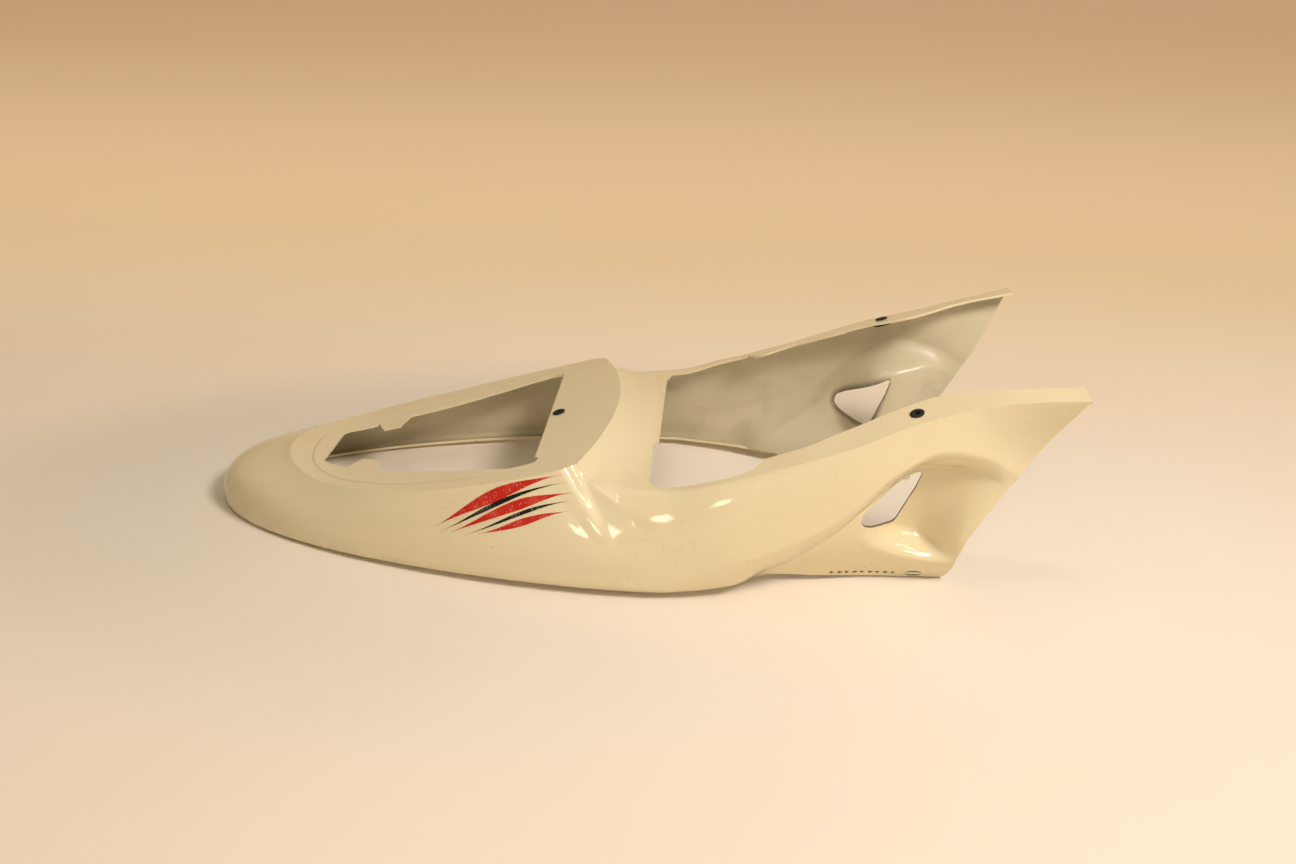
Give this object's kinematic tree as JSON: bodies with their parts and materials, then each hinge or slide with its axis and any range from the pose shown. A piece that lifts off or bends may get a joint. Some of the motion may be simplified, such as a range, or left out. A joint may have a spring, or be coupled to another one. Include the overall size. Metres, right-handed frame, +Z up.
{
  "type": "motorcycle tail fairing",
  "caption": "Moulded motorcycle tail cover with a flat passenger deck, an opening for each seat and scooped legs that run forward along the frame.",
  "frame": {"origin": "centre of the overall box, at the floor that the fairing stands on", "axes": "+X forward along the motorcycle, +Y to its left, +Z up"},
  "size_m": [0.7, 0.3002, 0.1794],
  "materials": {
    "shell": "gloss ivory white",
    "grommet": "matt black"
  },
  "bodies": {
    "root": {"tail_shell": "shell", "seat_grommet": "grommet", "right_leg_grommet": "grommet", "left_leg_grommet": "grommet"}
  },
  "joints": []
}
